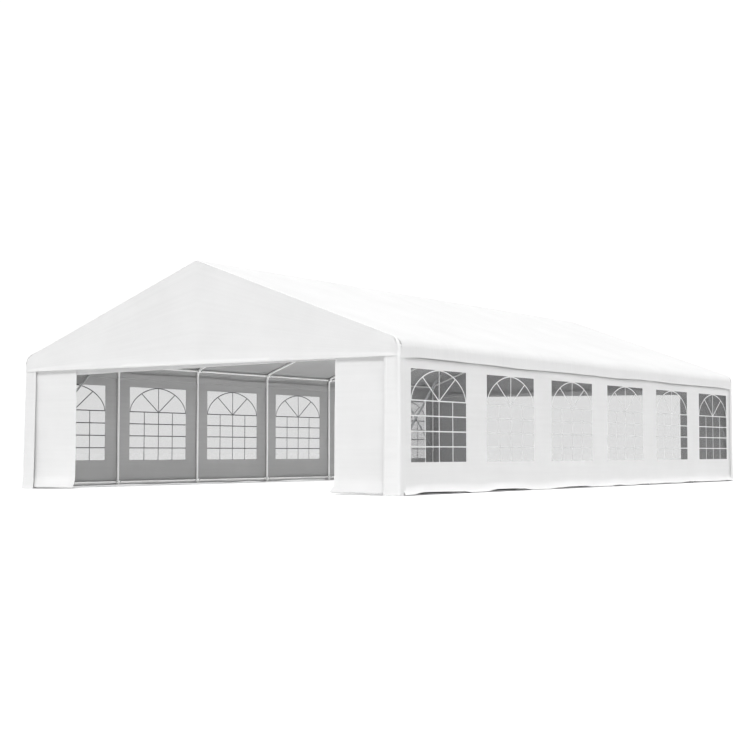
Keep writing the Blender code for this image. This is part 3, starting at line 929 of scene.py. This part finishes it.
def bent_tube(radius, start, stages):
    """A round tube from a level ring at start, stage by stage.

    A stage is a straight move, or the centre, angle and steps of a bend about Y.
    """
    bm = bmesh.new()
    bmesh.ops.create_circle(bm, cap_ends=False, segments=TUBE_SIDES, radius=radius,
                            matrix=Matrix.Translation(start))
    ring = list(bm.edges)
    for move, *bend in stages:
        if bend:
            verts = list(dict.fromkeys(v for e in ring for v in e.verts))
            made = bmesh.ops.spin(bm, geom=verts + ring, cent=move, axis=(0, 1, 0), angle=bend[0],
                                  steps=bend[1], use_duplicate=False)["geom_last"]
        else:
            made = bmesh.ops.extrude_edge_only(bm, edges=ring)["geom"]
        verts = {v for v in made if isinstance(v, bmesh.types.BMVert)}
        ring = [e for e in made if isinstance(e, bmesh.types.BMEdge) and set(e.verts) <= verts]
        if not bend:
            bmesh.ops.translate(bm, verts=list(verts), vec=move)
    bmesh.ops.holes_fill(bm, edges=bm.edges, sides=TUBE_SIDES)
    bmesh.ops.recalc_face_normals(bm, faces=bm.faces)
    return bm


ELBOW_CUT = ELBOW_R * math.tan(BEND / 2)
ELBOW_Z = RAFTER_APEX_Z - POST_X * SLOPE - ELBOW_CUT
RAFTER = POST_X / math.cos(ROOF_PITCH) - ELBOW_CUT - RIDGE_BEND_R * SLOPE
SLEEVE = 0.075             # straight length of a connector past its bend
SLEEVE_R = POST_R + 0.0022
RIM_WIDTH = 0.006          # rolled rims of a socket
RIM_PROUD = 0.0012
PLATE_WIDTH = 0.07         # foot plates
PLATE_THICK = 0.006
PLATE_END = 0.075          # middle of the outermost ones, from the tent's end
PLATE_CLEAR = 0.008        # from a plate's edge to the legs' outside
BOLT_AWAY = 0.042          # bolts on both sides of a socket's portal


def add_sockets(bm, name, y, low, high):
    """The connector round a rail, rolled at its rims."""
    x, z = rail_centre(name)
    tube(bm, (x, low, z), (x, high, z), SOCKET_R)
    for rim in (low, high - RIM_WIDTH):
        tube(bm, (x, rim, z), (x, rim + RIM_WIDTH, z), SOCKET_R + RIM_PROUD)


def build_roof_frames():
    """Two elbows, two rafters and a ridge connector, with the rafters pushed into the sleeves."""
    rise = Vector((math.cos(ROOF_PITCH), 0, math.sin(ROOF_PITCH)))
    fall = Vector((rise.x, 0, -rise.z))
    bend_z = RAFTER_APEX_Z - RIDGE_BEND_R / math.cos(ROOF_PITCH)
    for name, y in zip(FRAMES, PORTAL_Y):
        left, right = (ELBOW_R - POST_X, y, ELBOW_Z), (POST_X - ELBOW_R, y, ELBOW_Z)
        bm = bent_tube(POST_R, (-POST_X, y, ELBOW_Z),
                       [(left, BEND, 12), (rise * RAFTER,), ((0, y, bend_z), 2 * ROOF_PITCH, 8),
                        (fall * RAFTER,), (right, BEND, 12)])
        up = Vector((0, 0, SLEEVE))
        join(bm, bent_tube(SLEEVE_R, (-POST_X, y, ELBOW_Z - SLEEVE),
                           [(up,), (left, BEND, 12), (rise * SLEEVE,)]))
        join(bm, bent_tube(SLEEVE_R, (POST_X, y, ELBOW_Z - SLEEVE),
                           [(up,), (right, -BEND, 12), (fall * -SLEEVE,)]))
        for side, along in ((-1, rise), (1, -fall)):
            start = Vector((side * RIDGE_BEND_R * rise.z, y, bend_z + RIDGE_BEND_R * rise.x))
            tube(bm, start + along * 0.025, start - along * SLEEVE, SLEEVE_R)
        low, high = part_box(name)
        for rail in RAILS[:5]:
            add_sockets(bm, rail, y, low.y, high.y)
        add_tube(name, bm)


def build_posts():
    """Straight posts, each with the base rail's connector and a foot plate."""
    reach = HALF_LENGTH - PLATE_END
    for side_name, side in SIDES:
        for number, y in enumerate(PORTAL_Y, 1):
            name = f"post_{side_name}_{number}"
            low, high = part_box(name)
            bm = bmesh.new()
            tube(bm, (side * POST_X, y, 0.004), (side * POST_X, y, high.z), POST_R)
            add_sockets(bm, f"base_rail_{side_name}", y, low.y, high.y)
            inner, outer = min(abs(low.x), abs(high.x)), WALL_X - PLATE_CLEAR
            spot = Vector((side * (inner + outer) / 2, min(max(y, -reach), reach), PLATE_THICK / 2))
            size = Matrix.Diagonal((outer - inner, PLATE_WIDTH, PLATE_THICK, 1))
            cube = bmesh.ops.create_cube(bm, size=1.0, matrix=Matrix.Translation(spot) @ size)
            rim = list(dict.fromkeys(e for v in cube["verts"] for e in v.link_edges))
            bmesh.ops.bevel(bm, geom=rim, offset=0.0015, segments=2, affect="EDGES",
                            profile=0.5, material=-1)
            add_tube(name, bm)


def build_braces():
    """A slanting tube at each corner, from the post up to the eave rail."""
    for end_name, end in ENDS:
        for side_name, side in SIDES:
            name = f"brace_{end_name}_{side_name}"
            low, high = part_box(name)
            foot = (side * POST_X, end * max(abs(low.y), abs(high.y)), low.z + 2 * BRACE_R)
            top = (side * (min(abs(low.x), abs(high.x)) + BRACE_R),
                   end * (min(abs(low.y), abs(high.y)) + BRACE_R), high.z)
            add_tube(name, tube(bmesh.new(), foot, top, BRACE_R, sides=16), BRACE_FINISH)


def hex_bolt(bm, spot, out):
    """A washer with a six-sided head on it."""
    turn = out.to_track_quat("Z", "X").to_matrix().to_4x4()
    for sides, foot_r, top_r, height, middle in ((12, 0.010, 0.010, 0.002, 0.001),
                                                 (6, 0.0075, 0.0068, 0.0055, 0.0045)):
        bmesh.ops.create_cone(bm, cap_ends=True, segments=sides, radius1=foot_r, radius2=top_r,
                              depth=height, matrix=Matrix.Translation(spot + out * middle) @ turn)


def build_bolts():
    """Two bolts in each socket, on its inner side."""
    bm = bmesh.new()
    for y in PORTAL_Y:
        for rail in RAILS:
            x, z = rail_centre(rail)
            inward = Vector((-x, 0, 1.6 - z)).normalized() if abs(x) > 0.1 else Vector((0, 0, -1))
            for step in (-BOLT_AWAY, BOLT_AWAY):
                if abs(y + step) < HALF_LENGTH - 0.05:
                    hex_bolt(bm, Vector((x, y + step, z)) + inward * (SOCKET_R - 0.001), inward)
    add_piece("socket_bolts", bm, [BOLT_FINISH], smooth_angle=25)


# Stage

def build_stage():
    """The floor, the sky's light, a soft sun and the light that comes through the roof."""
    bm = bmesh.new()
    bmesh.ops.create_grid(bm, x_segments=1, y_segments=1, size=400.0,
                          matrix=Matrix.Translation((0, 0, -0.0005)))
    mesh = bpy.data.meshes.new("studio_floor")
    bm.to_mesh(mesh)
    bm.free()
    mesh.materials.append(pale_studio_floor())
    floor = new_object("studio_floor", mesh)

    world = bpy.data.worlds.new("soft_white_studio")
    world.use_nodes = True
    tree = world.node_tree
    # White behind the tent, and for lighting a dim sky that is brighter at the rear left
    seen = node(tree, "ShaderNodeLightPath")
    place = node(tree, "ShaderNodeTexCoord")
    rear = node(tree, "ShaderNodeVectorMath", {0: place.outputs["Generated"]},
                {1: (-0.65, 0.70, 0.30)}, operation="DOT_PRODUCT")
    sky = node(tree, "ShaderNodeMapRange", {"Value": rear.outputs["Value"]},
               {"From Min": -0.4, "From Max": 1.0, "To Min": 0.14, "To Max": 0.55})
    strength = node(tree, "ShaderNodeMapRange",
                    {"Value": seen.outputs["Is Camera Ray"], "To Min": sky.outputs["Result"]},
                    {"To Max": 1.05})
    back = tree.nodes["Background"]
    back.inputs["Color"].default_value = srgb("#FFFFFF")
    tree.links.new(strength.outputs["Result"], back.inputs["Strength"])
    bpy.context.scene.world = world

    lamp = bpy.data.lights.new("soft_key", "SUN")
    lamp.energy = 3.15
    lamp.angle = math.radians(14)
    key = new_object("soft_key", lamp)
    toward = Vector((0.26, -0.355, 0.90)).normalized()
    key.rotation_mode = "QUATERNION"
    key.rotation_quaternion = toward.to_track_quat("Z", "Y")
    key.location = toward * 30

    # A panel under the roof stands in for the daylight that the thin cloth lets through
    glow = bpy.data.lights.new("inside_fill", "AREA")
    glow.shape = "RECTANGLE"
    glow.size, glow.size_y = 6.5, 11.2
    glow.energy = 268.0
    glow.spread = math.radians(70)
    fill = new_object("inside_fill", glow)
    fill.location = (-0.05, -0.1, 1.93)
    fill.visible_camera = False

    view = bpy.context.scene.view_settings
    view.view_transform = "Standard"
    view.look = "None"


def build_camera():
    """The photograph's view: low, from the right of the front, slightly upwards."""
    yaw, pitch = math.radians(34.20), math.radians(3.04)
    data = bpy.data.cameras.new("photo_camera")
    data.sensor_width = 36.0
    data.lens = 69.71
    data.clip_end = 1000.0
    camera = new_object("photo_camera", data)
    ahead = Vector((-math.sin(yaw) * math.cos(pitch), math.cos(yaw) * math.cos(pitch),
                    math.sin(pitch)))
    camera.rotation_mode = "QUATERNION"
    camera.rotation_quaternion = ahead.to_track_quat("-Z", "Y")
    camera.location = (13.792, -21.725, 0.565)
    bpy.context.scene.camera = camera


build_camera()
build_stage()
build_roof()
for tent_end in ENDS:
    build_gable(*tent_end)
for tent_end in ENDS:
    for tent_side in SIDES:
        build_door(*tent_side, *tent_end)
for tent_side in SIDES:
    build_wall(*tent_side)
build_rails()
build_roof_frames()
build_posts()
build_braces()
build_bolts()
